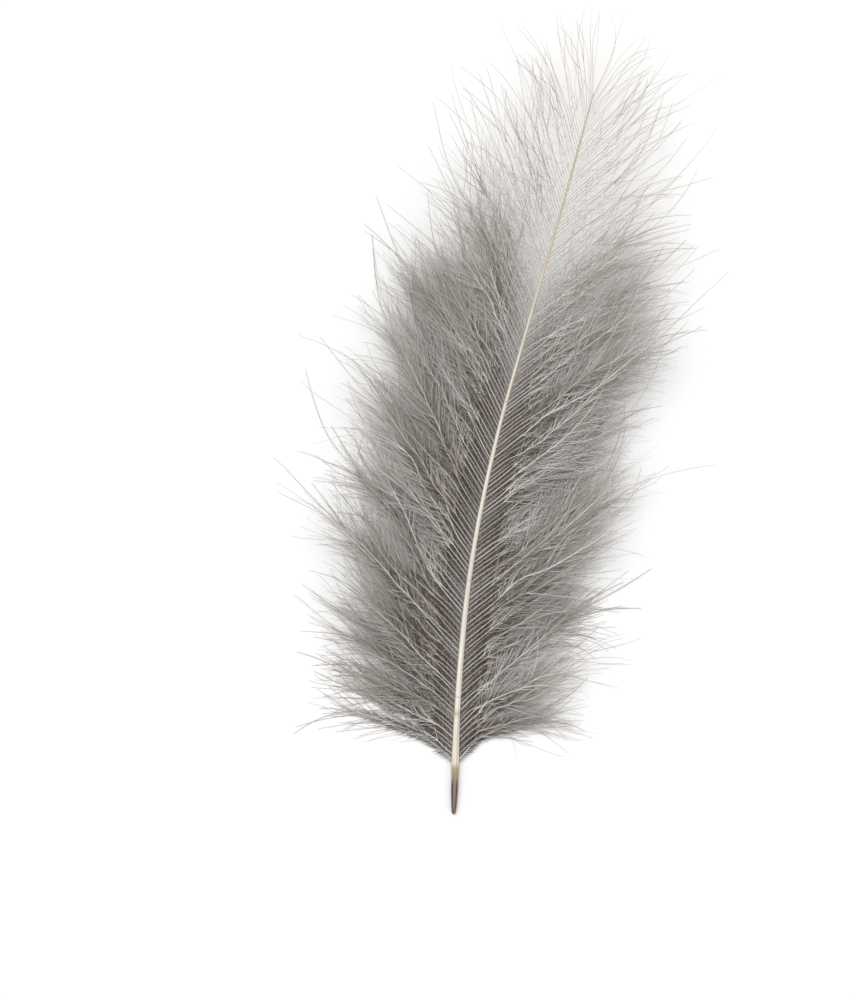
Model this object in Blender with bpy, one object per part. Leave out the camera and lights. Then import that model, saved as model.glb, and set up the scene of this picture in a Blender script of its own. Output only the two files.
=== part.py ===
"""A cul de canard feather, lying on a level surface.

The feather grew as one piece, so it is one object: a hollow quill that runs on as a thin, bowed shaft,
with its soft barbs gathered into locks that leave the shaft on both sides. +Y runs from the quill to the
feather's tip, +Z is up, and the surface that it lies on is Z = 0.
"""

import math
import random

import bmesh
import bpy
from mathutils import Vector

MM = 0.001

# Driving dimensions of the shaft: where its centre line runs, at equal steps from the quill's end to the
# fine end. The line bows to the left. The quill touches the surface and the rest arches off it.
SHAFT_LENGTH = 56.0 * MM
SHAFT_SIDEWAYS = [x * MM for x in (0.0, -1.45, -2.32, -2.32, -1.61, -0.74, 0.0)]
SHAFT_HEIGHT = [z * MM for z in (0.22, 0.42, 1.25, 1.95, 2.25, 2.20, 1.90)]

# The quill is widest just below the first barbs and ends in a narrow, rounded point.
THICKNESS_STATIONS = (0.0, 0.012, 0.05, 0.11, 0.25, 0.40, 0.63, 0.80, 1.0)
SHAFT_RADII = [r * MM for r in (0.13, 0.19, 0.305, 0.245, 0.21, 0.17, 0.12, 0.10, 0.08)]
SHAFT_STEPS = 40

# The barbs, as locks. Shares run from the quill's end, 0, to the shaft's fine end, 1.
FIRST_LOCK = 0.075
LOCKS_PER_SIDE = 29
LENGTH_STATIONS = (0.0, 0.08, 0.25, 0.45, 0.65, 0.82, 1.0)
LOCK_LENGTHS = [n * MM for n in (9.0, 11.5, 15.8, 16.6, 15.0, 12.4, 7.0)]
LOCK_STEPS = 6
LOCK_WIDTH = 1.45 * MM
LOCK_THICKNESS = 0.75 * MM
TIP_FULLNESS = 0.12
LENGTH_SPREAD = (0.90, 1.06)
LEAN_SPREAD = 3.5

# How far a lock leans out from the shaft's direction, in degrees, at its root, middle and tip.
# The left side starts close to the shaft and spreads. The right side starts wide and sweeps up.
LEAN_LEFT = (34.0, 49.0, 46.0)
LEAN_RIGHT = (50.0, 43.0, 32.0)
LEAN_STATIONS = (0.0, 0.10, 0.30, 0.70, 0.93, 1.0)
LEAN_SHARES = (1.55, 1.30, 1.02, 0.86, 0.66, 0.18)

# A few thin strays on each side reach out past the rest. Their outer parts turn outwards by so many
# degrees, or inwards where that is negative.
STRAY_SHARES = (0.13, 0.21, 0.30, 0.39, 0.49, 0.60, 0.72, 0.85)
STRAY_LENGTHS = [n * MM for n in (16.0, 19.5, 22.0, 20.5, 22.5, 19.0, 18.5, 15.0)]
CURLS_LEFT = (-22.0, 8.0, -30.0, 20.0, -12.0, 24.0, -18.0, 12.0)
CURLS_RIGHT = (26.0, -14.0, 32.0, -24.0, 16.0, 30.0, -10.0, 18.0)
CURL_START = 0.35
STRAY_FULLNESS = 0.35
STRAY_RISE = 5.0

# The locks fan up and down from the shaft's level, most of all in the down near the quill, and sag.
RISES = (23.0, -6.0, 12.0, -16.0, 17.0, 2.0)
RISE_STATIONS = (0.0, 0.3, 0.7, 1.0)
RISE_SHARES = (1.25, 1.1, 0.8, 0.5)
SAG = 0.12

# The underside is pressed flat where it rests, this deep.
RESTING_DEPTH = 0.05 * MM
SEED = 11

# Where the quill's end lies, so that the origin is under the middle of the feather's box.
QUILL_END = Vector((2.0, -31.0, 0.0)) * MM


def between(stations, values, share):
    """The value at a share, read from straight lines between the stations."""
    for (low, high), (first, last) in zip(
        zip(stations, stations[1:]), zip(values, values[1:])
    ):
        if share <= high:
            return first + (last - first) * (share - low) / (high - low)
    return values[-1]


def smooth_through(values, share):
    """The value at a share of a smooth curve that passes through equally spaced values."""
    place = min(max(share, 0.0), 1.0) * (len(values) - 1)
    k = min(int(place), len(values) - 2)
    t = place - k
    before = values[k - 1] if k else 2 * values[0] - values[1]
    after = values[k + 2] if k + 2 < len(values) else 2 * values[-1] - values[-2]
    start, end = values[k], values[k + 1]
    start_slope, end_slope = (end - before) / 2, (after - start) / 2
    return (
        start * (2 * t**3 - 3 * t**2 + 1)
        + start_slope * (t**3 - 2 * t**2 + t)
        + end * (3 * t**2 - 2 * t**3)
        + end_slope * (t**3 - t**2)
    )


def shaft_point(share):
    """A point of the shaft's centre line."""
    return QUILL_END + Vector(
        (
            smooth_through(SHAFT_SIDEWAYS, share),
            SHAFT_LENGTH * share,
            smooth_through(SHAFT_HEIGHT, share),
        )
    )


def shaft_direction(share):
    """The way the shaft runs at a share, seen from above."""
    step = 0.01
    low, high = max(share - step, 0.0), min(share + step, 1.0)
    way = shaft_point(high) - shaft_point(low)
    way.z = 0.0
    return way.normalized()


def add_curve(name, splines, caps=True):
    """A curve object of poly splines, each a list of (point, radius)."""
    curve = bpy.data.curves.new(name, "CURVE")
    curve.dimensions = "3D"
    curve.twist_mode = "Z_UP"
    curve.use_fill_caps = caps
    for line in splines:
        spline = curve.splines.new("POLY")
        spline.points.add(len(line) - 1)
        for held, (point, radius) in zip(spline.points, line):
            held.co = (*point, 1.0)
            held.radius = radius
    made = bpy.data.objects.new(name, curve)
    bpy.context.scene.collection.objects.link(made)
    return made


def as_closed_mesh(source, name):
    """The evaluated curve as a mesh object with its caps welded on. The curve is removed."""
    bpy.context.view_layer.update()
    graph = bpy.context.evaluated_depsgraph_get()
    mesh = bpy.data.meshes.new_from_object(source.evaluated_get(graph))
    shape = bmesh.new()
    shape.from_mesh(mesh)
    bmesh.ops.remove_doubles(shape, verts=shape.verts, dist=0.001 * MM)
    bmesh.ops.recalc_face_normals(shape, faces=shape.faces)
    shape.to_mesh(mesh)
    shape.free()
    made = bpy.data.objects.new(name, mesh)
    made.matrix_world = source.matrix_world
    bpy.context.scene.collection.objects.link(made)
    bpy.data.objects.remove(source)
    return made


def make_shaft():
    """The quill and shaft: one tapering round rod along the centre line."""
    line = []
    for k in range(SHAFT_STEPS + 1):
        share = (k / SHAFT_STEPS) ** 1.25
        radius = between(THICKNESS_STATIONS, SHAFT_RADII, share)
        line.append((shaft_point(share), radius / MM))
    rod = add_curve("shaft_line", [line])
    rod.data.bevel_depth = MM
    rod.data.bevel_resolution = 3
    return as_closed_mesh(rod, "feather")


def lock_profile():
    """The flattened six-sided section of a lock at its widest, as a closed curve."""
    half_width, half_thickness = LOCK_WIDTH / 2, LOCK_THICKNESS / 2
    corners = [
        (half_width, 0.0),
        (half_width / 2, half_thickness),
        (-half_width / 2, half_thickness),
        (-half_width, 0.0),
        (-half_width / 2, -half_thickness),
        (half_width / 2, -half_thickness),
    ]
    section = add_curve("lock_section", [[((x, y, 0.0), 1.0) for x, y in corners]], False)
    section.data.dimensions = "2D"
    section.data.splines[0].use_cyclic_u = True
    section.hide_render = True
    return section


def lock_fullness(share):
    """How wide a lock is along its length, as a share of its widest."""
    return between((0.0, 0.12, 0.5, 0.8, 1.0), (0.32, 0.70, 1.0, 0.72, TIP_FULLNESS), share)


def lock_line(share, side, rise, length, lean_change, curl=0.0, full=1.0):
    """The centre line of one lock, from inside the shaft to its tip.

    share is where it leaves the shaft, side is -1 for left and 1 for right, and rise is its slope up or
    down in degrees. lean_change is added to its lean all along and curl only towards its tip, both in
    degrees. full is its width, as a share of a full lock's.
    """
    along = shaft_direction(share)
    outwards = Vector((along.y, -along.x, 0.0)) * side
    leans = LEAN_LEFT if side < 0 else LEAN_RIGHT
    lean_share = between(LEAN_STATIONS, LEAN_SHARES, share)
    point = shaft_point(share)
    root_height = point.z
    line = []
    for k in range(LOCK_STEPS + 1):
        part = k / LOCK_STEPS
        fullness = max(full * lock_fullness(part), TIP_FULLNESS)
        lowest = fullness * LOCK_THICKNESS / 2 - RESTING_DEPTH
        height = root_height + length * (math.sin(math.radians(rise)) * part - SAG * part**2)
        line.append((Vector((point.x, point.y, max(height, lowest))), fullness))
        turn = lean_change + curl * max(part - CURL_START, 0.0) / (1.0 - CURL_START)
        lean = math.radians(between((0.0, 0.5, 1.0), leans, part) * lean_share + turn)
        point = point + (along * math.cos(lean) + outwards * math.sin(lean)) * length / LOCK_STEPS
    return line


def make_locks():
    """All the locks in one object: two ranks with their strays, and one more at the shaft's fine end."""
    dice = random.Random(SEED)
    lines = []
    for side in (-1, 1):
        for k in range(LOCKS_PER_SIDE):
            place = (k + (0.25 if side < 0 else 0.75)) / LOCKS_PER_SIDE
            share = FIRST_LOCK + (1.0 - FIRST_LOCK) * place
            rise = RISES[(k + side) % len(RISES)] * between(RISE_STATIONS, RISE_SHARES, share)
            length = between(LENGTH_STATIONS, LOCK_LENGTHS, share) * dice.uniform(*LENGTH_SPREAD)
            lean_change = dice.uniform(-LEAN_SPREAD, LEAN_SPREAD)
            lines.append(lock_line(share, side, rise, length, lean_change))
        curls = CURLS_LEFT if side < 0 else CURLS_RIGHT
        for share, length, curl in zip(STRAY_SHARES, STRAY_LENGTHS, curls):
            lines.append(lock_line(share, side, STRAY_RISE, length, 0.0, curl, STRAY_FULLNESS))
    lines.append(lock_line(0.985, 1, 2.0, LOCK_LENGTHS[-1], -5.0))
    locks = add_curve("lock_lines", lines)
    section = lock_profile()
    locks.data.bevel_mode = "OBJECT"
    locks.data.bevel_object = section
    made = as_closed_mesh(locks, "locks")
    bpy.data.objects.remove(section)
    return made


def floor_cutter():
    """A block whose top is the surface that the feather lies on."""
    size = 0.1
    bpy.ops.mesh.primitive_cube_add(size=size, location=(0.0, 0.0, -size / 2))
    block = bpy.context.object
    block.name = "floor_cutter"
    return block


def add_boolean(target, tool, operation):
    """Joins or cuts the target by another object, which is then a helper and not a part."""
    joined = target.modifiers.new(f"{operation.lower()}_{tool.name}", "BOOLEAN")
    joined.operation = operation
    joined.object = tool
    joined.solver = "EXACT"
    joined.use_self = operation == "UNION"
    tool.hide_render = True
    tool.display_type = "WIRE"


def feather_material():
    """Soft grey down on a pale horny shaft, as the eye mixes them."""
    material = bpy.data.materials.new("grey_down")
    material.use_nodes = True
    finish = material.node_tree.nodes["Principled BSDF"]
    finish.inputs["Base Color"].default_value = (0.40, 0.37, 0.34, 1.0)
    finish.inputs["Roughness"].default_value = 0.75
    finish.inputs["Metallic"].default_value = 0.0
    return material


def file_into(collection_name, *objects):
    """Moves objects into a collection of that name."""
    collection = bpy.data.collections.new(collection_name)
    bpy.context.scene.collection.children.link(collection)
    for item in objects:
        for held in list(item.users_collection):
            held.objects.unlink(item)
        collection.objects.link(item)


def main():
    for old in list(bpy.data.objects):
        bpy.data.objects.remove(old)
    feather = make_shaft()
    locks = make_locks()
    cutter = floor_cutter()
    add_boolean(feather, locks, "UNION")
    add_boolean(feather, cutter, "DIFFERENCE")
    feather.data.materials.append(feather_material())
    file_into("cul_de_canard_feather", feather)
    file_into("cutters", locks, cutter)


main()
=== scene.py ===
"""The looks of a cul de canard feather that lies on a pale table.

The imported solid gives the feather's place and size. Here it is replaced by what the real one shows: a satin
horn shaft on a brown, empty quill, a rank of fine barbs on each side, and the down of barbules on every
barb. Lengths are in metres and angles in degrees. A share runs along the shaft, 0 at the quill's end and 1
at the fine end, and a part runs along a barb, 0 at the shaft and 1 at the barb's tip.
"""

import logging
import math
from dataclasses import dataclass
from enum import Enum

import bpy
import numpy as np
from mathutils import Matrix, Vector

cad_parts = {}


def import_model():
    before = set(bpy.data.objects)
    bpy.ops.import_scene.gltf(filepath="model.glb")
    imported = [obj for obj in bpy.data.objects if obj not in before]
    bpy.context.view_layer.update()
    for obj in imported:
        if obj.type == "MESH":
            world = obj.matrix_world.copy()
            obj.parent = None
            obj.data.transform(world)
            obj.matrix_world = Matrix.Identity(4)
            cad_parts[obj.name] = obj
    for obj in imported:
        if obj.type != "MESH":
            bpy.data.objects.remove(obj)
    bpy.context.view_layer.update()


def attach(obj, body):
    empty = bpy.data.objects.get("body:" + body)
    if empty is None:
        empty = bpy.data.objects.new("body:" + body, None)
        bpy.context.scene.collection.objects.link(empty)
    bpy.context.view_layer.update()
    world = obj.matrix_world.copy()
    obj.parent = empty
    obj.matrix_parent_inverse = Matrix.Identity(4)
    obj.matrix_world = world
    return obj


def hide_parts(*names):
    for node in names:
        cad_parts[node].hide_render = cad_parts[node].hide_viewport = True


MM = 0.001
UP = np.array([0.0, 0.0, 1.0])
NODE = "feather"
BODY = "root"

# On the bake map each barb has its own strip. Hairs and barbules lie by tone and warmth, in small cells.
BAKE_MAP = "OFBake"
STRIP_FILL = 0.96
CELL_SPAN = 0.97
HAIR_CELL = 0.02
BARBULE_CELL = 0.012

# A point of a mesh lies on a line when it is nearer to it than this.
TOUCHING = 1e-6

Piece = bpy.types.Object
Tree = bpy.types.NodeTree
Socket = bpy.types.NodeSocket
Array = np.ndarray
Dice = np.random.Generator
Pair = tuple[float, float]

log = logging.getLogger("feather")


class Side(Enum):
    """The two ranks of barbs, seen from above with the tip at the top."""

    LEFT = -1
    RIGHT = 1


class Zone(Enum):
    """Stretches of a rank, from the quill upwards, whose barbules are one piece each."""

    LOWER = 0
    MIDDLE = 1
    UPPER = 2


# How pale each side's barbs, hairs and down are, from 0 to 1. The left side's lower value is painted
# shade, which darkens that whole vane.
VANE_PAINTED_PALENESS = {Side.LEFT: 0.16, Side.RIGHT: 0.50}


def to_linear(hex_colour: str) -> tuple[float, float, float, float]:
    """Turns an sRGB hex colour into linear light.

    Args:
        hex_colour: Six hex digits, such as "C8BEB4".

    Returns:
        Linear red, green and blue, and an alpha of 1.
    """
    parts = [int(hex_colour[k : k + 2], 16) / 255 for k in (0, 2, 4)]
    red, green, blue = (x / 12.92 if x <= 0.04045 else ((x + 0.055) / 1.055) ** 2.4 for x in parts)
    return red, green, blue, 1.0


def add_node(tree: Tree, kind: str, inputs: dict | None = None, **settings: object) -> bpy.types.Node:
    """Adds a node with its settings and links.

    Args:
        tree: The node tree that gets it.
        kind: Blender's name for the kind of node.
        inputs: For each input socket, by name or number, a value or the output socket that feeds it.
        settings: Values for the node's own properties.

    Returns:
        The new node.
    """
    node = tree.nodes.new(kind)
    for name, value in settings.items():
        setattr(node, name, value)
    for key, value in (inputs or {}).items():
        if isinstance(value, Socket):
            tree.links.new(value, node.inputs[key])
        else:
            node.inputs[key].default_value = value
    return node


def set_ramp(node: bpy.types.Node, stops: tuple[tuple[float, str], ...]) -> None:
    """Gives a colour ramp its stops.

    Args:
        node: The ramp.
        stops: Places from 0 to 1, each with its sRGB hex colour.
    """
    elements = node.color_ramp.elements
    for _ in range(len(stops) - len(elements)):
        elements.new(1.0)
    for element, (place, colour) in zip(elements, stops):
        element.position = place
        element.color = to_linear(colour)


def through(values: tuple[float, ...], share: Array) -> Array:
    """Reads a smooth curve that passes through equally spaced values.

    Args:
        values: The curve's heights at equal steps from share 0 to 1.
        share: The places to read.

    Returns:
        The curve's height at each share.
    """
    held = np.asarray(values, float)
    held = np.concatenate([[2 * held[0] - held[1]], held, [2 * held[-1] - held[-2]]])
    place = np.clip(share, 0.0, 1.0) * (len(values) - 1)
    k = np.minimum(place.astype(int), len(values) - 2)
    t = place - k
    before, start, end, after = held[k], held[k + 1], held[k + 2], held[k + 3]
    start_slope, end_slope = (end - before) / 2, (after - start) / 2
    return (
        start * (2 * t**3 - 3 * t**2 + 1)
        + start_slope * (t**3 - 2 * t**2 + t)
        + end * (3 * t**2 - 2 * t**3)
        + end_slope * (t**3 - t**2)
    )


def unit(vectors: Array) -> Array:
    """Scales each vector in the last axis to length 1."""
    return vectors / np.linalg.norm(vectors, axis=-1, keepdims=True)


def eased(low: float, high: float, values: Array) -> Array:
    """Rises smoothly from 0 at low to 1 at high."""
    t = np.clip((values - low) / (high - low), 0.0, 1.0)
    return t * t * (3 - 2 * t)


def like_neighbours(dice: Dice, count: int, reach: float) -> Array:
    """Draws random numbers of which near ones are alike.

    Args:
        dice: The source of random numbers.
        count: How many to draw.
        reach: How many neighbours away the likeness lasts.

    Returns:
        The numbers, with a mean near 0 and a spread of 1.
    """
    wide = int(3 * reach) + 1
    bell = np.exp(-0.5 * (np.arange(-wide, wide + 1) / reach) ** 2)
    bell /= math.sqrt((bell**2).sum())
    return np.convolve(dice.normal(size=count + 2 * wide), bell, "valid")


def walk(root: Array, way: Array, length: Array) -> Array:
    """Draws lines that start at their roots and take even steps the way that they are given.

    Args:
        root: Where each line starts.
        way: Unit vectors, by line and then by place along it.
        length: Each line's length.

    Returns:
        The points, by line and then by place along it.
    """
    step = (length / (way.shape[1] - 1))[:, None, None]
    return root[:, None] + np.concatenate([0 * way[:, :1], np.cumsum(way[:, :-1] * step, 1)], 1)


@dataclass(frozen=True)
class Course:
    """Values at places from 0 to 1, with straight lines between them."""

    places: tuple[float, ...]
    values: tuple[float, ...]

    def at(self, place: Array) -> Array:
        """Reads the values at any places."""
        return np.interp(place, self.places, self.values)


@dataclass(frozen=True)
class Change:
    """An amount that comes in smoothly from one place to another."""

    amount: float
    start: float
    end: float

    def at(self, place: Array) -> Array:
        """Gives how much of the amount there is at any places."""
        return self.amount * eased(self.start, self.end, place)


@dataclass(frozen=True)
class Plume:
    """The sizes that the feather is drawn from, as the solid in the frame is.

    The shaft's line and the barbs' lengths are in millimetres. A barb leans out from the shaft as lean_left
    or lean_right says along it, times lean_shares, once its first stretch has left root_left or root_right.
    """

    shaft_length: float = 56.0 * MM
    quill_end: Pair = (2.0 * MM, -31.0 * MM)
    sideways: tuple[float, ...] = (-0.03, -1.45, -2.32, -2.32, -1.61, -0.74, 0.0)
    height: tuple[float, ...] = (0.22, 0.42, 1.25, 1.95, 2.25, 2.20, 1.90)
    barb_lengths: Course = Course(
        (0.0, 0.08, 0.25, 0.45, 0.65, 0.82, 1.0), (9.0, 11.5, 15.8, 16.6, 15.0, 12.4, 6.6)
    )
    lean_left: Course = Course((0.0, 0.5, 1.0), (34.0, 46.5, 46.0))
    lean_right: Course = Course((0.0, 0.5, 1.0), (50.0, 45.5, 33.0))
    lean_shares: Course = Course((0.0, 0.10, 0.30, 0.70, 0.93, 1.0), (1.66, 1.30, 1.02, 0.86, 0.66, 0.18))
    root_left: Course = Course((0.0, 0.10, 0.30, 0.50, 0.70, 0.93, 1.0), (49, 49, 44.5, 40, 38, 28, 8))
    root_right: Course = Course((0.0, 0.10, 0.30, 0.50, 0.70, 0.93, 1.0), (42, 42, 47, 38.5, 37, 28, 8))
    root_stretch: Pair = (0.0, 0.45)
    stray_shares: tuple[float, ...] = (0.13, 0.21, 0.30, 0.39, 0.49, 0.60, 0.72, 0.85)
    stray_lengths: tuple[float, ...] = (16.0, 19.5, 22.0, 20.5, 22.5, 19.0, 18.5, 15.0)
    curls_left: tuple[float, ...] = (-22.0, 8.0, -30.0, 20.0, -12.0, 24.0, -18.0, 12.0)
    curls_right: tuple[float, ...] = (26.0, -14.0, 32.0, -24.0, 16.0, 30.0, -10.0, 18.0)
    sag: float = 0.12

    def point(self, share: Array) -> Array:
        """Gives points of the shaft's centre line.

        Args:
            share: The places along the shaft.

        Returns:
            One point for each share.
        """
        x = self.quill_end[0] + through(self.sideways, share) * MM
        y = self.quill_end[1] + share * self.shaft_length
        return np.stack([x, y, through(self.height, share) * MM], -1)

    def direction(self, share: Array) -> Array:
        """Gives the way the shaft runs, seen from above.

        Args:
            share: The places along the shaft.

        Returns:
            One level unit vector for each share.
        """
        step = 0.01
        low, high = np.maximum(share - step, 0.0), np.minimum(share + step, 1.0)
        way = self.point(high) - self.point(low)
        way[..., 2] = 0.0
        return unit(way)

    def lean(self, side: Side, share: Array, part: Array) -> Array:
        """Gives how far barbs lean out from the shaft, in degrees.

        Args:
            side: The rank that the barbs are in.
            share: Where each barb leaves the shaft.
            part: The places along a barb.

        Returns:
            A lean for each barb at each part.
        """
        left = side is Side.LEFT
        course = self.lean_left if left else self.lean_right
        at_root = (self.root_left if left else self.root_right).at(share)
        shares = self.lean_shares.at(share)
        turn = at_root - shares * course.values[0]
        lean = shares[:, None] * course.at(part)[None, :]
        return lean + turn[:, None] * (1.0 - eased(*self.root_stretch, part))[None, :]

    def barb_length(self, share: Array) -> Array:
        """Gives the full length of the barbs that leave the shaft at each share."""
        return self.barb_lengths.at(share) * MM

    def curls(self, side: Side) -> Array:
        """Gives how far the outer part of each of a side's stray barbs turns outwards, in degrees."""
        return np.array(self.curls_left if side is Side.LEFT else self.curls_right)


def store(mesh: bpy.types.Mesh, name: str, values: Array) -> None:
    """Keeps a number or a vector for each point of a mesh.

    Args:
        mesh: The mesh.
        name: The attribute's name.
        values: One number, or one row of three, for each point.
    """
    kind, field = ("FLOAT", "value") if values.ndim == 1 else ("FLOAT_VECTOR", "vector")
    held = mesh.attributes.new(name, kind, "POINT")
    held.data.foreach_set(field, np.ascontiguousarray(values, np.float32).ravel())


def deselect_all() -> None:
    """Leaves nothing selected, because an operator acts on all that is."""
    bpy.ops.object.select_all(action="DESELECT")


def make_active(piece: Piece) -> None:
    """Makes a piece the only selected object, and the one that operators work on."""
    deselect_all()
    piece.select_set(True)
    bpy.context.view_layer.objects.active = piece


def add_object(name: str, data: bpy.types.ID) -> Piece:
    """Adds an object with its mesh, lamp or camera to the scene."""
    made = bpy.data.objects.new(name, data)
    bpy.context.scene.collection.objects.link(made)
    return made


def add_lines(name: str, lines: Array, held: dict[str, Array]) -> Piece:
    """Adds an object of open lines, one for each row of points. A row of one is a loose point.

    Args:
        name: The object's name.
        lines: The points, by line and then by place along it.
        held: For each attribute, its values by line and place.

    Returns:
        The object.
    """
    count, steps = lines.shape[:2]
    first = np.arange(count * steps).reshape(count, steps)
    edges = np.stack([first[:, :-1].ravel(), first[:, 1:].ravel()], 1)
    mesh = bpy.data.meshes.new(name)
    mesh.from_pydata(lines.reshape(-1, 3).tolist(), edges.tolist(), [])
    for attribute, values in held.items():
        store(mesh, attribute, values.reshape(-1, *values.shape[2:]))
    return add_object(name, mesh)


def start_tree(name: str) -> tuple[Tree, Socket]:
    """Starts a geometry node tree.

    Args:
        name: The tree's name.

    Returns:
        The tree, and the socket that gives the piece's own geometry.
    """
    tree = bpy.data.node_groups.new(name, "GeometryNodeTree")
    tree.interface.new_socket("Geometry", in_out="INPUT", socket_type="NodeSocketGeometry")
    tree.interface.new_socket("Geometry", in_out="OUTPUT", socket_type="NodeSocketGeometry")
    return tree, add_node(tree, "NodeGroupInput").outputs[0]


def apply_tree(piece: Piece, tree: Tree, result: Socket, place: Socket) -> None:
    """Ends a geometry node tree with the map for baking, and applies it to a piece.

    Args:
        piece: The piece, whose mesh becomes the tree's result.
        tree: The tree.
        result: The socket with the finished geometry.
        place: The socket with each corner's place on the map.
    """
    mapped = {"Geometry": result, "Name": BAKE_MAP, "Value": place}
    mapped = add_node(tree, "GeometryNodeStoreNamedAttribute", mapped, data_type="FLOAT2", domain="CORNER")
    add_node(tree, "NodeGroupOutput", {0: mapped.outputs[0]})
    make_active(piece)
    modifier = piece.modifiers.new(tree.name, "NODES")
    modifier.node_group = tree
    bpy.ops.object.modifier_apply(modifier=modifier.name)


def keep_above(piece: Piece, level: float) -> None:
    """Lifts the points of a piece that are lower than a level up to it.

    Args:
        piece: The piece.
        level: The lowest height that its points may have.
    """
    places = np.empty(len(piece.data.vertices) * 3, np.float32)
    piece.data.vertices.foreach_get("co", places)
    places[2::3] = np.maximum(places[2::3], level)
    piece.data.vertices.foreach_set("co", places)


def sweep(piece: Piece, sides: int, ridges: int = 0, ridge_height: float = 0.0) -> None:
    """Turns a piece's lines into closed rods, and gives them a map for baking.

    The lines hold their half thickness in the attribute "radius", their length in "along", from 0 to 1,
    and in "strip" and "strip_width" where their own strip of the map begins and how wide it is.

    Args:
        piece: The piece with the lines.
        sides: How many sides a rod has.
        ridges: How many soft ridges run round it.
        ridge_height: How far a ridge stands out, as a share of the radius.
    """
    section = add_section(f"{piece.name}_section", sides, ridges, ridge_height)
    tree, lines = start_tree(f"{piece.name}_sweep")
    held = {
        name: add_node(tree, "GeometryNodeInputNamedAttribute", {"Name": name}).outputs["Attribute"]
        for name in ("radius", "around", "along", "strip", "strip_width")
    }
    curve = add_node(tree, "GeometryNodeMeshToCurve", {"Mesh": lines}).outputs[0]
    ring = add_node(tree, "GeometryNodeObjectInfo", {"Object": section}).outputs["Geometry"]
    ring = add_node(tree, "GeometryNodeMeshToCurve", {"Mesh": ring}).outputs[0]
    rod = {"Curve": curve, "Profile Curve": ring, "Scale": held["radius"], "Fill Caps": True}
    swept = add_node(tree, "GeometryNodeCurveToMesh", rod).outputs[0]
    parts = {0: held["around"], 1: held["strip_width"], 2: held["strip"]}
    across = add_node(tree, "ShaderNodeMath", parts, operation="MULTIPLY_ADD").outputs[0]
    place = add_node(tree, "ShaderNodeCombineXYZ", {"X": across, "Y": held["along"]}).outputs[0]
    smooth = add_node(tree, "GeometryNodeSetShadeSmooth", {"Geometry": swept}).outputs[0]
    apply_tree(piece, tree, smooth, place)
    bpy.data.objects.remove(section)


def add_section(name: str, sides: int, ridges: int = 0, ridge_height: float = 0.0) -> Piece:
    """Models the section of a rod: a ring of radius 1, with its seam underneath.

    Args:
        name: The object's name.
        sides: How many sides the ring has.
        ridges: How many soft ridges run round it.
        ridge_height: How far a ridge stands out, as a share of the radius.

    Returns:
        The ring, hidden from renders.
    """
    deselect_all()
    bpy.ops.mesh.primitive_circle_add(vertices=sides, radius=1.0)
    ring = bpy.context.object
    ring.name = name
    places = np.array([v.co for v in ring.data.vertices])
    angle = np.arctan2(places[:, 0], places[:, 1])
    places *= (1.0 + ridge_height * np.cos(ridges * angle))[:, None]
    ring.data.vertices.foreach_set("co", places.astype(np.float32).ravel())
    store(ring.data, "around", (angle / math.tau) % 1.0)
    ring.hide_render = True
    return ring


def start_material(name: str, settings: dict[str, object]) -> tuple[bpy.types.Material, bpy.types.Node]:
    """Starts a material.

    Args:
        name: The material's name.
        settings: Values for its shader's inputs, by name.

    Returns:
        The material and its shader.
    """
    material = bpy.data.materials.new(name)
    material.use_nodes = True
    shader = material.node_tree.nodes["Principled BSDF"]
    for key, value in settings.items():
        shader.inputs[key].default_value = value
    return material, shader


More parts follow.
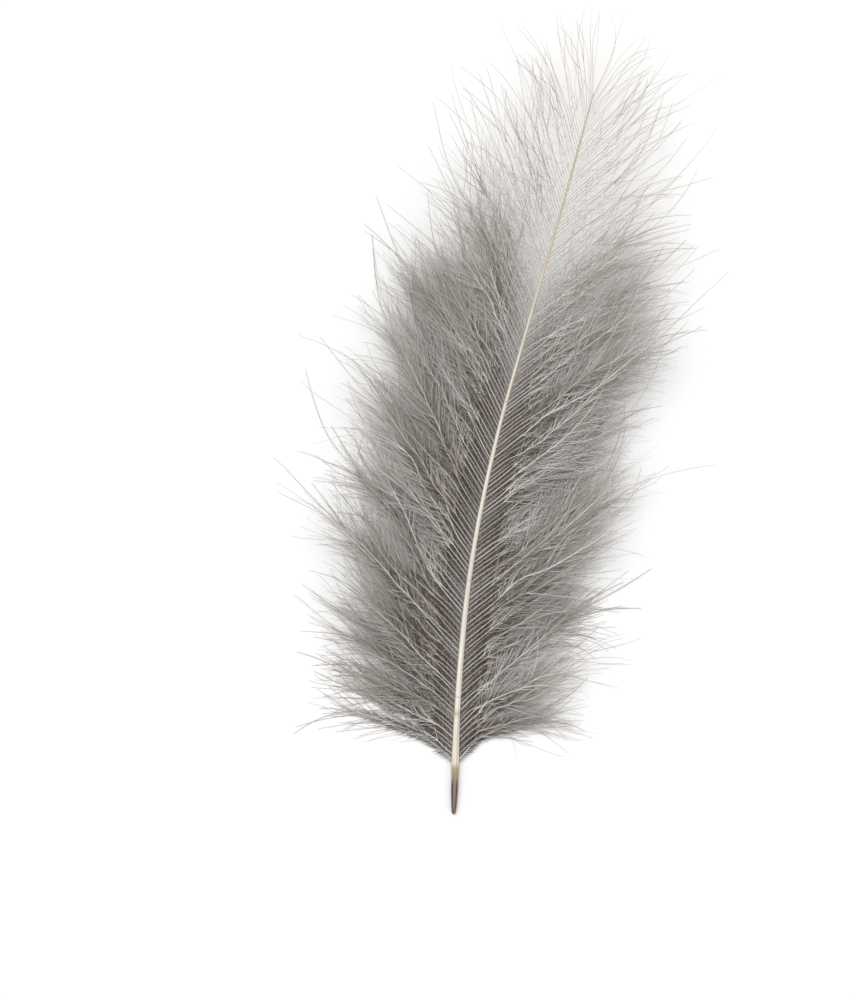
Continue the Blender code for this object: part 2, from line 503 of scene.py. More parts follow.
@dataclass(frozen=True)
class HornFinish:
    """Feather keratin, grown: a thin satin horn skin on solid ivory pith, with fine lengthwise streaks.

    Below the first barbs the quill is empty, so it is clear brown, and paler where light comes through. Both
    flanks of the shaft, a line along its groove and the flanks of the empty quill are painted darker, as
    painted shade for light falling off round a rod seen from above. An edge is the two places between which
    a painted shade comes in, and its depth is how strong it gets.
    """

    colours: tuple[tuple[float, str], ...] = (
        (0.0, "5F4630"),
        (0.007, "75593F"),
        (0.012, "857566"),
        (0.043, "8F7F70"),
        (0.058, "AB957B"),
        (0.063, "B7A286"),
        (0.070, "EAE0D0"),
        (0.131, "F3ECE0"),
        (0.137, "CDBDA8"),
        (0.143, "F4EEE4"),
        (0.42, "F1EADE"),
        (0.66, "E4DACA"),
        (0.85, "D3C5AD"),
        (1.0, "C8B798"),
    )
    empty_start: Pair = (0.0042, 0.0098)
    empty_end: Pair = (0.052, 0.03744)
    # The quill's own brown horn, painted darker down both flanks of the empty quill: painted shade where the
    # clear tube is seen edge-on.
    painted_wall_shade: str = "4A3425"
    painted_wall_edge: Pair = (0.030, 0.085)
    painted_wall_depth: float = 0.9
    # Painted shade down both flanks of the shaft and along its groove. The same colour marks the nicks, which
    # are the shaft's own marks.
    painted_shade_and_nick: str = "9C876D"
    painted_flank_edge: Pair = (0.10, 0.23)
    painted_flank_depth: float = 0.75
    # Where round the shaft the groove lies. The dark line along it is painted shade, not a colour of the
    # horn.
    groove: float = 0.44
    painted_groove_edge: Pair = (0.035, 0.012)
    painted_groove_depth: float = 0.40
    nicks: tuple[float, ...] = (0.159, 0.3186, 0.567)
    nick_half: float = 0.0012
    nick_depth: float = 0.30
    streak_width: float = 0.10 * MM
    streak_length: float = 5.0 * MM
    streak_height: float = 0.006 * MM
    streak_shades: Pair = (0.72, 1.08)
    roughness: float = 0.30
    ior: float = 1.54
    glow: float = 0.10
    glow_reach: tuple[float, float, float] = (1.0, 0.7, 0.5)
    glow_depth: float = 0.10 * MM

    def build(self, plume: Plume, girth: float) -> bpy.types.Material:
        """Builds the material.

        Args:
            plume: The feather's sizes.
            girth: The way round the shaft at its middle.

        Returns:
            The material.
        """
        settings = {
            "Roughness": self.roughness,
            "IOR": self.ior,
            "Subsurface Weight": self.glow,
            "Subsurface Radius": self.glow_reach,
            "Subsurface Scale": self.glow_depth,
        }
        material, shader = start_material("feather_horn", settings)
        tree = material.node_tree
        share, around = (
            add_node(tree, "ShaderNodeAttribute", attribute_name=name).outputs["Fac"]
            for name in ("share", "around")
        )
        ramp = add_node(tree, "ShaderNodeValToRGB", {"Fac": share})
        set_ramp(ramp, self.colours)
        place = add_node(tree, "ShaderNodeCombineXYZ", {"X": around, "Y": share}).outputs[0]
        streaks = {0: place, 1: (girth / self.streak_width, plume.shaft_length / self.streak_length, 0.0)}
        place = add_node(tree, "ShaderNodeVectorMath", streaks, operation="MULTIPLY").outputs[0]
        noise = {"Vector": place, "Scale": 1.0, "Detail": 3.0, "Roughness": 0.6}
        streaks = add_node(tree, "ShaderNodeTexNoise", noise).outputs["Fac"]
        dark, light = self.streak_shades
        shades = {"Value": streaks, "From Min": 0.25, "From Max": 0.75, "To Min": dark, "To Max": light}
        shade = add_node(tree, "ShaderNodeMapRange", shades).outputs[0]
        shaded = {0: 1.0, 6: ramp.outputs[0], 7: shade}
        colour = add_node(tree, "ShaderNodeMix", shaded, data_type="RGBA", blend_type="MULTIPLY").outputs[2]
        # Lays on the nicks, and the painted shade of the flanks, the groove and the empty quill.
        for amount, darker in self.shades(tree, share, around):
            colour = add_node(
                tree, "ShaderNodeMix", {0: amount, 6: colour, 7: to_linear(darker)}, data_type="RGBA"
            ).outputs[2]
        ridges = {"Height": streaks, "Strength": 0.5, "Distance": self.streak_height}
        bump = add_node(tree, "ShaderNodeBump", ridges).outputs[0]
        tree.links.new(colour, shader.inputs["Base Color"])
        tree.links.new(bump, shader.inputs["Normal"])
        return material

    def shades(self, tree: Tree, share: Socket, around: Socket) -> list[tuple[Socket, str]]:
        """Finds where the horn is darker: at its own nicks, and in painted shade down both flanks, along the
        groove and on the flanks of the empty quill.

        Args:
            tree: The material's node tree.
            share: The place along the shaft.
            around: The place round the shaft, 0 and 1 on the underside's seam.

        Returns:
            For each shade how much of it there is, and its colour.
        """
        # Painted shade: how far round the rod a point lies from the top, for darkening both flanks.
        side_on = add_node(tree, "ShaderNodeMath", {0: around, 1: 0.25}, operation="PINGPONG").outputs[0]
        # Painted shade: a dark line along the groove, a little off the top.
        off_groove = {0: around, 1: self.groove}
        off_groove = add_node(tree, "ShaderNodeMath", off_groove, operation="SUBTRACT").outputs[0]
        off_groove = add_node(tree, "ShaderNodeMath", {0: off_groove}, operation="ABSOLUTE").outputs[0]
        painted_flank_mask, groove, painted_wall_shade, starts, ends = (
            add_node(
                tree,
                "ShaderNodeMapRange",
                {"Value": value, "From Min": edge[0], "From Max": edge[1], "To Max": depth},
                interpolation_type="SMOOTHSTEP",
            ).outputs[0]
            for value, edge, depth in (
                (side_on, self.painted_flank_edge, self.painted_flank_depth),
                (off_groove, self.painted_groove_edge, self.painted_groove_depth),
                (side_on, self.painted_wall_edge, self.painted_wall_depth),
                (share, self.empty_start, 1.0),
                (share, self.empty_end, 1.0),
            )
        )
        found = []
        for nick in self.nicks:
            band = {0: share, 1: nick, 2: self.nick_half}
            near = add_node(tree, "ShaderNodeMath", band, operation="COMPARE").outputs[0]
            depth = {0: near, 1: self.nick_depth}
            amount = add_node(tree, "ShaderNodeMath", depth, operation="MULTIPLY").outputs[0]
            found.append((amount, self.painted_shade_and_nick))
        # Painted shade: the flanks are painted dark only where the quill is empty.
        for end in (starts, ends):
            painted_wall_shade = add_node(tree, "ShaderNodeMath", {0: painted_wall_shade, 1: end}, operation="MULTIPLY").outputs[0]
        return found + [(painted_flank_mask, self.painted_shade_and_nick), (groove, self.painted_shade_and_nick), (painted_wall_shade, self.painted_wall_shade)]


@dataclass(frozen=True)
class FilamentFinish:
    """Fine keratin filament, grown: a dull, slightly clear hair with grey-brown melanin in it. Its tone
    also carries painted shade, where its rank is painted darker.
    """

    name: str
    dark: str
    light: str
    warm: str
    warmth: float
    roughness: float = 0.55
    ior: float = 1.54

    def build(self) -> bpy.types.Material:
        """Builds the material, which reads each filament's tone, and how warm it is, from the mesh.

        Returns:
            The material.
        """
        material, shader = start_material(self.name, {"Roughness": self.roughness, "IOR": self.ior})
        tree = material.node_tree
        tone, warmth = (
            add_node(tree, "ShaderNodeAttribute", attribute_name=name).outputs["Fac"]
            for name in ("tone", "warmth")
        )
        ramp = add_node(tree, "ShaderNodeValToRGB", {"Fac": tone})
        set_ramp(ramp, ((0.0, self.dark), (1.0, self.light)))
        warming = {0: warmth, 1: self.warmth}
        warming = add_node(tree, "ShaderNodeMath", warming, operation="MULTIPLY").outputs[0]
        blend = {0: warming, 6: ramp.outputs[0], 7: to_linear(self.warm)}
        colour = add_node(tree, "ShaderNodeMix", blend, data_type="RGBA").outputs[2]
        tree.links.new(colour, shader.inputs["Base Color"])
        return material


def hand_over(piece: Piece, material: bpy.types.Material) -> None:
    """Dresses a finished piece and ties it to the frame.

    Args:
        piece: The piece.
        material: Its finish.
    """
    piece.data.materials.clear()
    piece.data.materials.append(material)
    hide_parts(NODE)
    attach(piece, BODY)
    piece.data.calc_loop_triangles()
    log.info("%s: %d triangles", piece.name, len(piece.data.loop_triangles))


@dataclass
class Shaft:
    """The quill and the shaft in one rod, widest just below the first barbs, with radii in millimetres."""

    plume: Plume
    radii: Course = Course(
        (0.0, 0.001, 0.003, 0.009, 0.018, 0.030, 0.042, 0.064, 0.086, 0.13, 0.25, 0.4, 0.63, 0.8, 0.93, 1.0),
        (0.06, 0.125, 0.172, 0.2, 0.228, 0.266, 0.275, 0.3)
        + (0.3, 0.255, 0.222, 0.17, 0.125, 0.1, 0.074, 0.028),
    )
    rings: int = 200
    crowding: float = 1.35
    sides: int = 20
    ridges: int = 5
    ridge_height: float = 0.03
    finish: HornFinish = HornFinish()

    def build(self) -> None:
        """Builds the rod along the shaft's centre line, flat where it rests, and dresses it."""
        share = np.linspace(0.0, 1.0, self.rings) ** self.crowding
        radius = self.radii.at(share) * MM
        held = {
            "radius": radius[None],
            "share": share[None],
            "along": share[None],
            "strip": np.zeros((1, self.rings)),
            "strip_width": np.ones((1, self.rings)),
        }
        rod = add_lines("shaft", self.plume.point(share)[None], held)
        sweep(rod, self.sides, self.ridges, self.ridge_height)
        keep_above(rod, 0.0)
        girth = math.tau * float(np.median(radius))
        hand_over(rod, self.finish.build(self.plume, girth))


@dataclass
class Rank:
    """One side's barbs: thin rods that leave the shaft evenly, then stray, wave and cross to their tips.

    Angles are in degrees. A pair named over or stretch is where a turn comes in or fades. Each swing is how
    far the barbs turn, and the fewest and the most waves along a barb.
    """

    plume: Plume
    side: Side
    seed: int
    # Painted shade: a rank painted less pale gets darker barbs, hairs and down over its whole vane.
    painted_paleness: float
    pale_shares: Course = Course((0.10, 0.40, 0.50, 0.75), (0.55, 1.0, 1.0, 1.4))
    paleness_without_painted_shade: float = 0.6
    count: int = 132
    first: float = 0.066
    last: float = 0.998
    crowding: float = 0.06
    place_in_gap: Pair = (0.30, 0.70)
    steps: int = 50
    sides: int = 4
    root_radius: float = 0.030 * MM
    tip_radius: float = 0.012 * MM
    taper: Course = Course((0.0, 0.03, 0.50, 0.85, 1.0), (1.25, 1.0, 1.0, 0.7, 0.1))
    fineness: Course = Course((0.0, 0.5, 0.8, 1.0), (1.0, 0.95, 0.70, 0.52))
    length_spread: Pair = (0.82, 1.30)
    shorter: float = 1.6
    unevenness: Course = Course((0.0, 0.85, 1.0), (1.0, 0.9, 0.4))
    stray_fullness: float = 0.5
    stray_fineness: float = 0.4
    curl: float = 22.0
    curl_over: Pair = (0.42, 1.0)
    quill_curl: float = 24.0
    quill_stretch: Pair = (0.07, 0.20)
    drift: float = 1.5
    drift_reach: float = 5.0
    stray_lean: float = 8.5
    lateness: float = 1.8
    looseness: Course = Course((0.0, 0.2, 0.6, 1.0), (1.8, 1.15, 0.9, 0.4))
    loose_over: Pair = (0.02, 0.28)
    swings: tuple[tuple[float, float, float], ...] = ((8.0, 0.4, 1.2), (6.5, 1.6, 3.6), (5.0, 4.5, 8.0))
    calming: Change = Change(0.75, 0.35, 0.75)
    rise: float = 6.0
    tuft_rise: float = 9.0
    tuft_reach: float = 4.0
    own_rise: float = 2.6
    rise_limits: Pair = (-16.0, 21.0)
    rise_shares: Course = Course((0.0, 0.3, 0.7, 1.0), (1.25, 1.1, 0.8, 0.5))
    bob: float = 0.012
    bob_turns: Pair = (1.0, 3.0)
    wisp: tuple[int, int] = (2, 6)
    gathering: float = 0.10
    gathered_over: Pair = (0.30, 1.0)
    lowest: float = 0.05 * MM
    mean_tone: float = 0.5
    tone_spread: float = 0.25
    tone_off_root: Change = Change(0.12, 0.04, 0.20)
    tone_in_painted_shade: Change = Change(-0.25, 0.12, 0.45)
    tone_at_tip: Change = Change(-0.65, 0.66, 1.0)
    tone_upwards: Change = Change(-0.35, 0.6, 0.8)
    warmth_upwards: Change = Change(1.0, 0.5, 1.0)
    root_warmth: float = 0.2
    root_stretch: Pair = (0.0, 0.10)

    def __post_init__(self) -> None:
        """Settles where each barb leaves the shaft, and draws its line."""
        dice = np.random.default_rng(self.seed)
        place = (np.arange(self.count) + dice.uniform(*self.place_in_gap, self.count)) / self.count
        grown = place * (1 + self.crowding) - self.crowding * place**2
        self.share = self.first + (self.last - self.first) * grown
        self.part = np.linspace(0.0, 1.0, self.steps)
        self.pale = self.painted_paleness * self.pale_shares.at(self.share)
        self.painted_shade_amount = self.paleness_without_painted_shade - self.pale
        fewest, most = self.length_spread
        spread = fewest + (most - fewest) * dice.uniform(size=self.count) ** self.shorter
        spread = 1.0 + (spread - 1.0) * self.unevenness.at(self.share)
        curl = dice.normal(0.0, self.curl, self.count)
        curl = curl + self.quill_curl * (1.0 - eased(*self.quill_stretch, self.share))
        self.length = self.plume.barb_length(self.share) * spread
        self.fullness = np.ones(self.count)
        stray = np.abs(self.share[:, None] - np.array(self.plume.stray_shares)).argmin(0)
        self.length[stray] = np.array(self.plume.stray_lengths) * MM
        self.fullness[stray] = self.stray_fullness
        curl[stray] = self.plume.curls(self.side)
        self.lines = self.draw(dice, curl)
        self.tone = np.clip(self.mean_tone + self.tone_spread * dice.normal(size=self.count), 0.0, 1.0)

    def draw(self, dice: Dice, curl: Array) -> Array:
        """Draws the barbs' centre lines.

        Args:
            dice: The source of random numbers.
            curl: How far each barb's outer half turns outwards, in degrees.

        Returns:
            The points, by barb and then by place along it.
        """
        part = self.part[None, :]
        count = self.count
        stray = self.drift * like_neighbours(dice, count, self.drift_reach)
        stray = stray + self.stray_lean * dice.normal(size=count)
        lean = self.plume.lean(self.side, self.share, self.part)
        lean = lean + stray[:, None] * part**self.lateness + curl[:, None] * eased(*self.curl_over, part)
        loose = self.looseness.at(self.share)[:, None] * eased(*self.loose_over, part)
        for spread, fewest, most in self.swings:
            turn = dice.uniform(fewest, most, count)[:, None] * part + dice.uniform(size=count)[:, None]
            lean = lean + dice.normal(0.0, spread, count)[:, None] * loose * np.sin(math.tau * turn)
            loose = loose * (1.0 - self.calming.at(part))
        lean = np.radians(lean)
        along = self.plume.direction(self.share)
        outwards = np.stack([along[:, 1], -along[:, 0], 0 * along[:, 0]], -1) * self.side.value
        way = along[:, None] * np.cos(lean)[..., None] + outwards[:, None] * np.sin(lean)[..., None]
        lines = walk(self.plume.point(self.share), way, self.length)
        rise = self.rise + self.tuft_rise * like_neighbours(dice, count, self.tuft_reach)
        rise = np.clip(rise + self.own_rise * dice.normal(size=count), *self.rise_limits)
        rise = np.radians(rise * self.rise_shares.at(self.share))
        climb = np.sin(rise)[:, None] * part**self.lateness - self.plume.sag * part**2
        turn = dice.uniform(*self.bob_turns, count)[:, None] * part + dice.uniform(size=count)[:, None]
        bob = dice.normal(0.0, self.bob, count)[:, None] * part * np.sin(math.tau * turn)
        lines[..., 2] += self.length[:, None] * (climb + bob)
        lines = self.gathered(dice, lines)
        lines[..., 2] = np.maximum(lines[..., 2], self.lowest)
        return lines

    def gathered(self, dice: Dice, lines: Array) -> Array:
        """Draws the outer ends of neighbouring barbs together into loose wisps.

        Args:
            dice: The source of random numbers.
            lines: The barbs' centre lines.

        Returns:
            The gathered lines.
        """
        made = lines.copy()
        start = 0
        while start < self.count:
            end = min(start + int(dice.integers(*self.wisp)), self.count)
            pull = dice.uniform(0.0, self.gathering) * eased(*self.gathered_over, self.part)[None, :, None]
            middle = lines[start:end].mean(0)[None]
            made[start:end] += (middle - lines[start:end]) * pull
            start = end
        return made

    def weight(self, fullness: Course) -> Array:
        """Weighs how many barbules each barb bears, by its length and how full the rank is there."""
        return self.length * (self.fullness * fullness.at(self.share))

    def build(self, finish: FilamentFinish) -> None:
        """Builds the rank's barbs as one piece.

        Args:
            finish: The barbs' finish.
        """
        shape = self.lines.shape[:2]
        part = np.broadcast_to(self.part, shape)
        share = np.broadcast_to(self.share[:, None], shape)
        radius = self.tip_radius + (self.root_radius - self.tip_radius) * self.taper.at(self.part)
        fine = self.fineness.at(self.share) * self.fullness**self.stray_fineness
        tone = self.tone[:, None] + self.tone_off_root.at(part) + self.tone_at_tip.at(part)
        # Painted shade: barbs darken outwards by how much painted shade their rank carries.
        tone = tone + self.painted_shade_amount[:, None] * self.tone_in_painted_shade.at(part) + self.tone_upwards.at(share)
        at_root = self.root_warmth * (1.0 - eased(*self.root_stretch, part))
        held = {
            "radius": radius[None] * fine[:, None],
            "along": part,
            "tone": np.clip(tone, 0.0, 1.0),
            "warmth": np.clip(self.warmth_upwards.at(share) + at_root, 0.0, 1.0),
            "strip": np.broadcast_to((np.arange(self.count) / self.count)[:, None], shape),
            "strip_width": np.full(shape, STRIP_FILL / self.count),
        }
        piece = add_lines(f"barbs_{self.side.name.lower()}", self.lines, held)
        sweep(piece, self.sides)
        hand_over(piece, finish.build())


@dataclass
class Hairs:
    """The longest barbules of one rank: single wavy hairs that cross one another over the down.

    Real ones are some hundredths of a millimetre wide. These are drawn about twice as wide. Angles are in
    degrees. What is lost is how much smaller an angle gets, as a share, by the end of the barb or hair.
    """

    rank: Rank
    seed: int
    count: int = 4800
    steps: int = 7
    sides: int = 3
    reach: Pair = (2.0 * MM, 5.4 * MM)
    reach_shares: Course = Course((0.15, 0.30, 0.45, 0.62), (0.55, 1.0, 1.15, 1.0))
    root_radius: float = 0.0235 * MM
    tip_radius: float = 0.012 * MM
    lean: Pair = (6.0, 46.0)
    lean_lost: float = 0.65
    turn: float = 17.0
    sway: float = 6.0
    waves: float = 1.3
    climb: float = -6.0
    climb_spread: float = 6.0
    climb_lost: float = 1.6
    first_part: float = 0.17
    last_part: float = 0.62
    crowding: float = 1.1
    fullness: Course = Course((0.0, 0.50, 0.62, 0.74, 1.0), (1.0, 1.0, 0.50, 0.06, 0.0))
    tone_spread: float = 0.30
    painted_shade_dimming: float = 0.8
    lighter: Change = Change(0.12, 0.15, 0.35)
    darker: Change = Change(-0.30, 0.45, 0.60)
    warmth_upwards: Change = Change(0.8, 0.55, 1.0)

    def draw(self) -> tuple[Array, Array, Array]:
        """Draws the hairs' centre lines.

        Returns:
            The points by hair and place along it, each hair's barb, and its tone.
        """
        rank = self.rank
        dice = np.random.default_rng(self.seed)
        weight = rank.weight(self.fullness)
        barb = np.sort(dice.choice(rank.count, self.count, p=weight / weight.sum()))
        spread = dice.uniform(size=self.count) ** self.crowding
        part = self.first_part + (self.last_part - self.first_part) * spread
        place = part * (rank.steps - 1)
        before = place.astype(int)
        start, end = rank.lines[barb, before], rank.lines[barb, before + 1]
        root = start + (end - start) * (place - before)[:, None]
        along = unit((end - start) * (1.0, 1.0, 0.0))
        across = np.stack([along[:, 1], -along[:, 0], 0 * part], -1)
        side = dice.choice((-1.0, 1.0), self.count)
        along_hair = np.linspace(0.0, 1.0, self.steps)[None, :]
        angle = (dice.uniform(*self.lean, self.count) * (1.0 - self.lean_lost * part))[:, None]
        angle = angle + dice.normal(0.0, self.turn, self.count)[:, None] * along_hair
        wave = np.sin(math.tau * (along_hair * self.waves + dice.uniform(size=self.count)[:, None]))
        angle = angle + dice.normal(0.0, self.sway, self.count)[:, None] * wave
        angle = np.radians(angle) * side[:, None]
        slope = dice.normal(self.climb, self.climb_spread, self.count)[:, None]
        slope = np.radians(slope * (1.0 - self.climb_lost * along_hair))
        way = along[:, None] * np.cos(angle)[..., None] + across[:, None] * np.sin(angle)[..., None]
        way = way * np.cos(slope)[..., None] + UP * np.sin(slope)[..., None]
        lines = walk(root, way, dice.uniform(*self.reach, self.count) * self.reach_shares.at(part))
        lines[..., 2] = np.maximum(lines[..., 2], self.root_radius)
        tone = rank.tone[barb] + self.tone_spread * dice.normal(size=self.count)
        # Painted shade: hairs darken by how much painted shade their barb's rank carries.
        tone = tone - self.painted_shade_dimming * rank.painted_shade_amount[barb] + self.lighter.at(part) + self.darker.at(part)
        return lines, barb, np.clip(tone, 0.0, 1.0)

    def build(self, finish: FilamentFinish) -> None:
        """Builds the hairs as one piece, whose bake map is laid out by tone and warmth.

        Args:
            finish: The hairs' finish.
        """
        lines, barb, tone = self.draw()
        shape = lines.shape[:2]
        along = np.broadcast_to(np.linspace(0.0, 1.0, self.steps), shape)
        warmth = self.warmth_upwards.at(self.rank.share[barb])
        held = {
            "radius": self.root_radius + (self.tip_radius - self.root_radius) * along,
            "along": CELL_SPAN * warmth[:, None] + HAIR_CELL * along,
            "tone": np.broadcast_to(tone[:, None], shape),
            "warmth": np.broadcast_to(warmth[:, None], shape),
            "strip": np.broadcast_to(CELL_SPAN * tone[:, None], shape),
            "strip_width": np.full(shape, HAIR_CELL),
        }
        piece = add_lines(f"hairs_{self.rank.side.name.lower()}", lines, held)
        sweep(piece, self.sides)
        hand_over(piece, finish.build())


@dataclass
class Down:
    """The barbules of one rank: soft spikes on both sides of each barb, all along but for its bare tip.

    A spike's width, bow and widest place are shares of its length. The droop and leans are in degrees, and
    the rolls and tilts in radians.
    """

    rank: Rank
    seed: int
    total: int = 42_000
    fullness: Course = Course((0.0, 0.5, 0.62, 0.74, 1.0), (1.0, 0.95, 0.38, 0.05, 0.0))
    crowd_shares: Course = Course((0.0, 0.10, 0.30, 0.50, 0.65, 0.82), (1.0, 1.0, 0.97, 0.70, 0.30, 0.03))
    reach: float = 0.90 * MM
    reach_shares: Course = Course((0.0, 0.10, 0.30, 0.50, 0.65, 0.82), (0.60, 0.88, 1.00, 0.88, 0.58, 0.24))
    reach_spread: Pair = (0.70, 1.20)
    half_width: float = 0.0145
    bow: float = 0.07
    bow_spread: float = 0.7
    widest: float = 0.34
    samples: int = 200
    droop: float = 42.0
    clearance: float = 0.004 * MM
    barb_roll: float = 0.15
    tip_roll: float = 0.45
    tilt_spread: float = 0.35
    lean_root: float = 54.0
    lean_tip: float = 34.0
    lean_spread: float = 8.0
    barb_tone: float = 0.12
    tone_spread: float = 0.08
    tone_upwards: Change = Change(0.04, 0.15, 0.45)
    paler_over: Pair = (0.16, 0.66)
    tip_tone: float = 0.8
    tips_over: Pair = (0.46, 0.80)
    warmth_upwards: Change = Change(0.5, 0.55, 1.0)

    def spike(self) -> Piece:
        """Models one barbule, 1 m long from its root at the origin: a closed, slightly bowed sliver.

        Returns:
            The barbule, hidden from renders.
        """
        deselect_all()
        bpy.ops.mesh.primitive_cone_add(
            vertices=3,
            radius1=self.half_width,
            radius2=0.0,
            depth=1.0 - self.widest,
            end_fill_type="TRIFAN",
            location=(self.bow, 0.0, (1.0 + self.widest) / 2),
        )
        made = bpy.context.object
        made.name = "barbule"
        bpy.ops.object.transform_apply(location=True, rotation=True, scale=True)
        ends = (lambda at: math.hypot(at.x - self.bow, at.y) < TOUCHING, (-self.bow, 0.0, 0.0))
        root = (lambda at: at.x < self.bow / 2 and at.z < 0.5, (0.0, 0.0, -self.widest))
        for chosen, shift in (ends, root):
            bpy.ops.object.mode_set(mode="EDIT")
            bpy.ops.mesh.select_all(action="DESELECT")
            bpy.ops.object.mode_set(mode="OBJECT")
            for point in made.data.vertices:
                point.select = chosen(point.co)
            bpy.ops.object.mode_set(mode="EDIT")
            bpy.ops.transform.translate(value=shift)
            bpy.ops.object.mode_set(mode="OBJECT")
        self.map_cell(made.data)
        made.hide_render = True
        return made

    def map_cell(self, mesh: bpy.types.Mesh) -> None:
        """Lays the barbule's faces out in a unit cell, so that each has width on the bake's map.

        Args:
            mesh: The barbule's mesh.
        """
        cell = mesh.attributes.new("cell", "FLOAT2", "CORNER")
        places = np.array([v.co for v in mesh.vertices])
        angle = np.arctan2(places[:, 1], places[:, 0] - self.bow) / math.tau + 0.5
        across = np.where(np.hypot(places[:, 0], places[:, 1]) < TOUCHING, 0.5, angle)
        corners = np.array([loop.vertex_index for loop in mesh.loops])
        laid = np.stack([across, places[:, 2]], 1)[corners]
        cell.data.foreach_set("vector", laid.astype(np.float32).ravel())

    def roots(self) -> dict[str, Array]:
        """Works out where each barbule grows and how it points.

        Returns:
            Its root, aim, bow direction, size, tone and warmth, in order from the quill upwards.
        """
        rank = self.rank
        dice = np.random.default_rng(self.seed)
        weight = rank.weight(self.fullness)
        counts = (self.total / 2 * weight / weight.sum()).astype(int)
        places = np.linspace(0.0, self.crowd_shares.places[-1], self.samples)
        taken = np.cumsum(self.crowd_shares.at(places))
        taken = (taken - taken[0]) / (taken[-1] - taken[0])
        found: dict[str, list[Array]] = {}
        for barb, count in enumerate(counts):
            line = rank.lines[barb]
            slope = np.gradient(line, axis=0)
            roll = dice.normal(0.0, self.barb_roll) + dice.normal(0.0, self.tip_roll) * rank.part
            for side in (-1.0, 1.0):
                part = np.interp((np.arange(count) + dice.uniform(size=count)) / count, taken, places)
                root = np.stack([np.interp(part, rank.part, line[:, k]) for k in range(3)], 1)
                along = unit(np.stack([np.interp(part, rank.part, slope[:, k]) for k in range(3)], 1))
                up = unit(UP - along * along[:, 2:])
                out = np.cross(along, up) * side
                tilt = np.interp(part, rank.part, roll) * side + dice.normal(0.0, self.tilt_spread, count)
                tilt = tilt - math.radians(self.droop)
                lean = self.lean_root + (self.lean_tip - self.lean_root) * part
                lean = np.radians(lean + dice.normal(0.0, self.lean_spread, count))
                sideways = out * np.cos(tilt)[:, None] + up * np.sin(tilt)[:, None]
                aim = along * np.cos(lean)[:, None] + sideways * np.sin(lean)[:, None]
                size = self.reach * self.reach_shares.at(part) * dice.uniform(*self.reach_spread, count)
                fall = np.maximum(aim[:, 2], -np.clip((root[:, 2] - rank.lowest / 2) / size, 0.0, 1.0))
                level = np.sqrt(1.0 - fall**2) / np.linalg.norm(aim[:, :2], axis=1)
                aim = np.column_stack([aim[:, :2] * level[:, None], fall])
                bend = along - aim * (along * aim).sum(1, keepdims=True)
                bend = -unit(bend) + self.bow_spread * dice.normal(size=(count, 3))
                bend[:, 2] = np.abs(bend[:, 2])
                # The down starts dark at the barb and pales outwards. This is partly its own dun and partly
                # painted shade, standing in for the shade among dense down near the shaft. A side painted
                # less pale keeps more of it.
                tone = self.barb_tone * rank.tone[barb] + self.tone_spread * dice.normal(size=count)
                tone = tone + self.tone_upwards.at(rank.share[barb])
                tone = tone + rank.pale[barb] * eased(*self.paler_over, part)
                tone = tone + (self.tip_tone - rank.pale[barb]) * eased(*self.tips_over, part)
                made = {
                    "root": root,
                    "aim": aim,
                    "bend": bend,
                    "size": size,
                    "tone": np.clip(tone, 0.0, 1.0),
                    "warmth": np.full(count, self.warmth_upwards.at(rank.share[barb])),
                }
                for name, values in made.items():
                    found.setdefault(name, []).append(values)
        return {name: np.concatenate(values) for name, values in found.items()}

    def scatter(self, piece: Piece, spike: Piece) -> None:
        """Sets a barbule on each point of a piece, as real mesh.

        Args:
            piece: The piece, whose points hold aim, bend, size, tone and warmth.
            spike: The modelled barbule.
        """
        tree, points = start_tree(f"{piece.name}_scatter")
        kinds = {name: "FLOAT_VECTOR" for name in ("aim", "bend", "cell")}
        kinds |= {name: "FLOAT" for name in ("size", "tone", "warmth")}
        held = {}
        for name, kind in kinds.items():
            read = add_node(tree, "GeometryNodeInputNamedAttribute", {"Name": name}, data_type=kind)
            held[name] = read.outputs["Attribute"]
        one = add_node(tree, "GeometryNodeObjectInfo", {"Object": spike}).outputs["Geometry"]
        axes = {"Primary Axis": held["aim"], "Secondary Axis": held["bend"]}
        turn = add_node(tree, "FunctionNodeAxesToRotation", axes, primary_axis="Z", secondary_axis="X")
        turned = turn.outputs[0]
        set_out = {"Points": points, "Instance": one, "Rotation": turned, "Scale": held["size"]}
        copies = add_node(tree, "GeometryNodeInstanceOnPoints", set_out).outputs[0]
        real = add_node(tree, "GeometryNodeRealizeInstances", {"Geometry": copies}).outputs[0]
        place = {"X": held["tone"], "Y": held["warmth"]}
        place = add_node(tree, "ShaderNodeCombineXYZ", place).outputs[0]
        cell = {0: held["cell"], "Scale": BARBULE_CELL}
        cell = add_node(tree, "ShaderNodeVectorMath", cell, operation="SCALE").outputs[0]
        laid = {0: place, 1: (CELL_SPAN, CELL_SPAN, 0.0), 2: cell}
        laid = add_node(tree, "ShaderNodeVectorMath", laid, operation="MULTIPLY_ADD").outputs[0]
        apply_tree(piece, tree, real, laid)
        keep_above(piece, self.clearance)
        for spent in ("cell", "aim", "bend", "size"):
            left_over = piece.data.attributes.get(spent)
            if left_over:
                piece.data.attributes.remove(left_over)

    def build(self, finish: FilamentFinish) -> None:
        """Builds the rank's barbules, one piece for each zone.

        Args:
            finish: The barbules' finish.
        """
        spike = self.spike()
        material = finish.build()
        held = self.roots()
        cuts = np.linspace(0, len(held["root"]), len(Zone) + 1).astype(int)
        for zone in Zone:
            part = slice(cuts[zone.value], cuts[zone.value + 1])
            name = f"barbules_{self.rank.side.name.lower()}_{zone.name.lower()}"
            here = {key: values[part, None] for key, values in held.items()}
            piece = add_lines(name, here.pop("root"), here)
            self.scatter(piece, spike)
            hand_over(piece, material)
        bpy.data.objects.remove(spike)


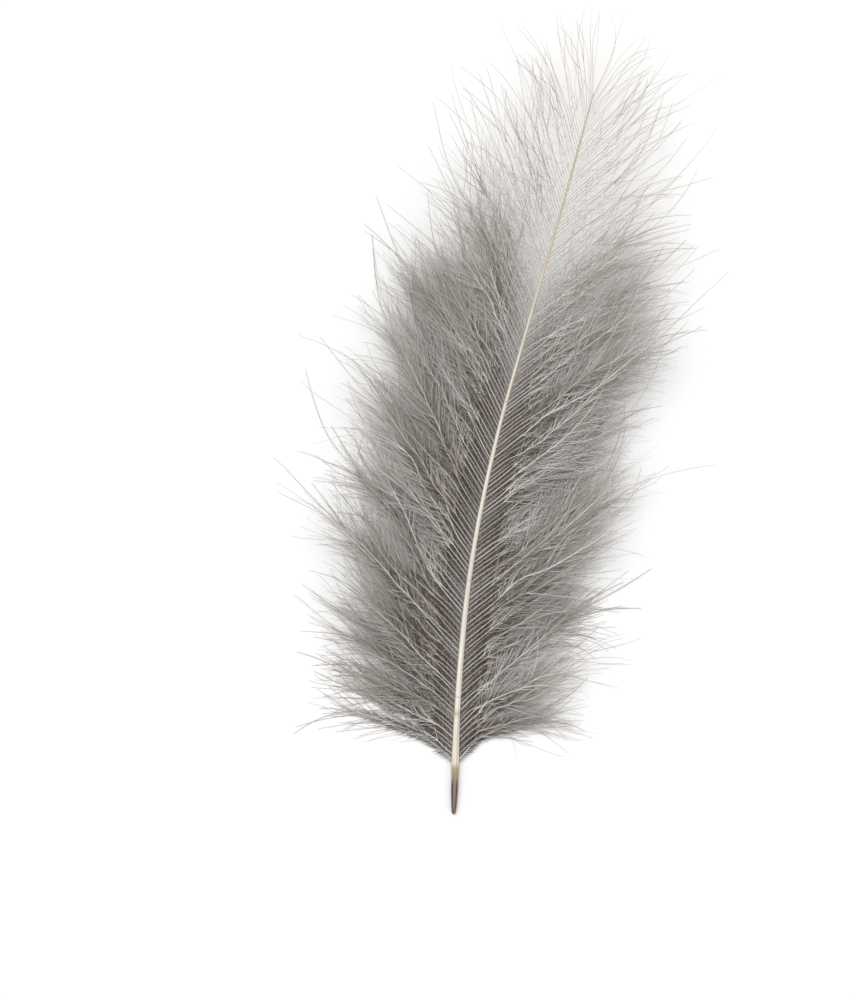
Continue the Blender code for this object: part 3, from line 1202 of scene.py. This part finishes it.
@dataclass
class Studio:
    """A pale table, soft light from above and the left, and a camera that looks straight down."""

    plume: Plume
    table_size: float = 3.0
    table_colour: str = "FBFBFB"
    lens: float = 100.0
    sensor: float = 36.0
    view_height: float = 76.7 * MM
    aim_along: float = 23.27 * MM
    aim_across: float = -6.51 * MM
    lean_in_picture: float = 10.9
    sky: float = 0.89
    sun: float = 0.78
    sun_from: Pair = (-28.0, 22.0)
    sun_softness: float = 35.0

    def table(self) -> None:
        """Lays the table at the height that the feather rests on."""
        deselect_all()
        bpy.ops.mesh.primitive_plane_add(size=self.table_size)
        top = bpy.context.object
        top.name = "table"
        board = {"Base Color": to_linear(self.table_colour), "Roughness": 0.9, "Specular IOR Level": 0.1}
        top.data.materials.append(start_material("matt_white_board", board)[0])

    def lights(self) -> None:
        """Sets the even light of the room and one broad, soft key light."""
        world = bpy.data.worlds.new("studio")
        bpy.context.scene.world = world
        world.use_nodes = True
        back = world.node_tree.nodes["Background"]
        back.inputs["Color"].default_value = (1.0, 1.0, 1.0, 1.0)
        back.inputs["Strength"].default_value = self.sky
        lamp = bpy.data.lights.new("key", "SUN")
        lamp.energy = self.sun
        lamp.angle = math.radians(self.sun_softness)
        across, along = np.radians(self.sun_from)
        add_object("key", lamp).rotation_euler = (-along, across, 0.0)

    def camera(self) -> None:
        """Hangs the camera over the feather, turned so that the feather leans as in the photograph."""
        data = bpy.data.cameras.new("camera")
        data.lens = self.lens
        data.sensor_width = self.sensor
        distance = self.view_height * self.lens / self.sensor
        data.clip_start, data.clip_end = distance / 20, 100.0
        camera = add_object("camera", data)
        across = self.plume.quill_end[0] + self.aim_across
        along = self.plume.quill_end[1] + self.aim_along
        turn = Matrix.Rotation(math.radians(self.lean_in_picture), 4, "Z")
        camera.matrix_world = Matrix.Translation(Vector((across, along, distance))) @ turn
        bpy.context.scene.camera = camera

    def build(self) -> None:
        """Sets up the table, the lights, the camera and plain colours."""
        self.table()
        self.lights()
        self.camera()
        bpy.context.scene.view_settings.view_transform = "Standard"


def corners(box: tuple[Vector, Vector]) -> list[list[float]]:
    """Gives a box's two corners as plain lists."""
    return [list(corner) for corner in box]


def main() -> None:
    """Builds the studio and the feather."""
    logging.basicConfig(level=logging.INFO, format="%(name)s: %(message)s")
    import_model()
    plume = Plume()
    Studio(plume).build()
    Shaft(plume).build()
    barb_finish = FilamentFinish("barb_keratin", "A8998C", "F6F1EA", "C8BAA8", 0.5)
    hair_finish = FilamentFinish("hair_keratin", "B2ABA4", "E9E6E2", "C6BBAE", 0.45)
    # The down's dark end is partly its own dun and partly painted shade, taken by the down near the shaft.
    down_finish = FilamentFinish("downy_keratin", "4E3E30", "DDD8D3", "C8BEB1", 0.45)
    for number, side in enumerate(Side):
        rank = Rank(plume, side, 21 + number, VANE_PAINTED_PALENESS[side])
        rank.build(barb_finish)
        Hairs(rank, seed=41 + number).build(hair_finish)
        Down(rank, seed=51 + number).build(down_finish)


if __name__ == "__main__":
    main()
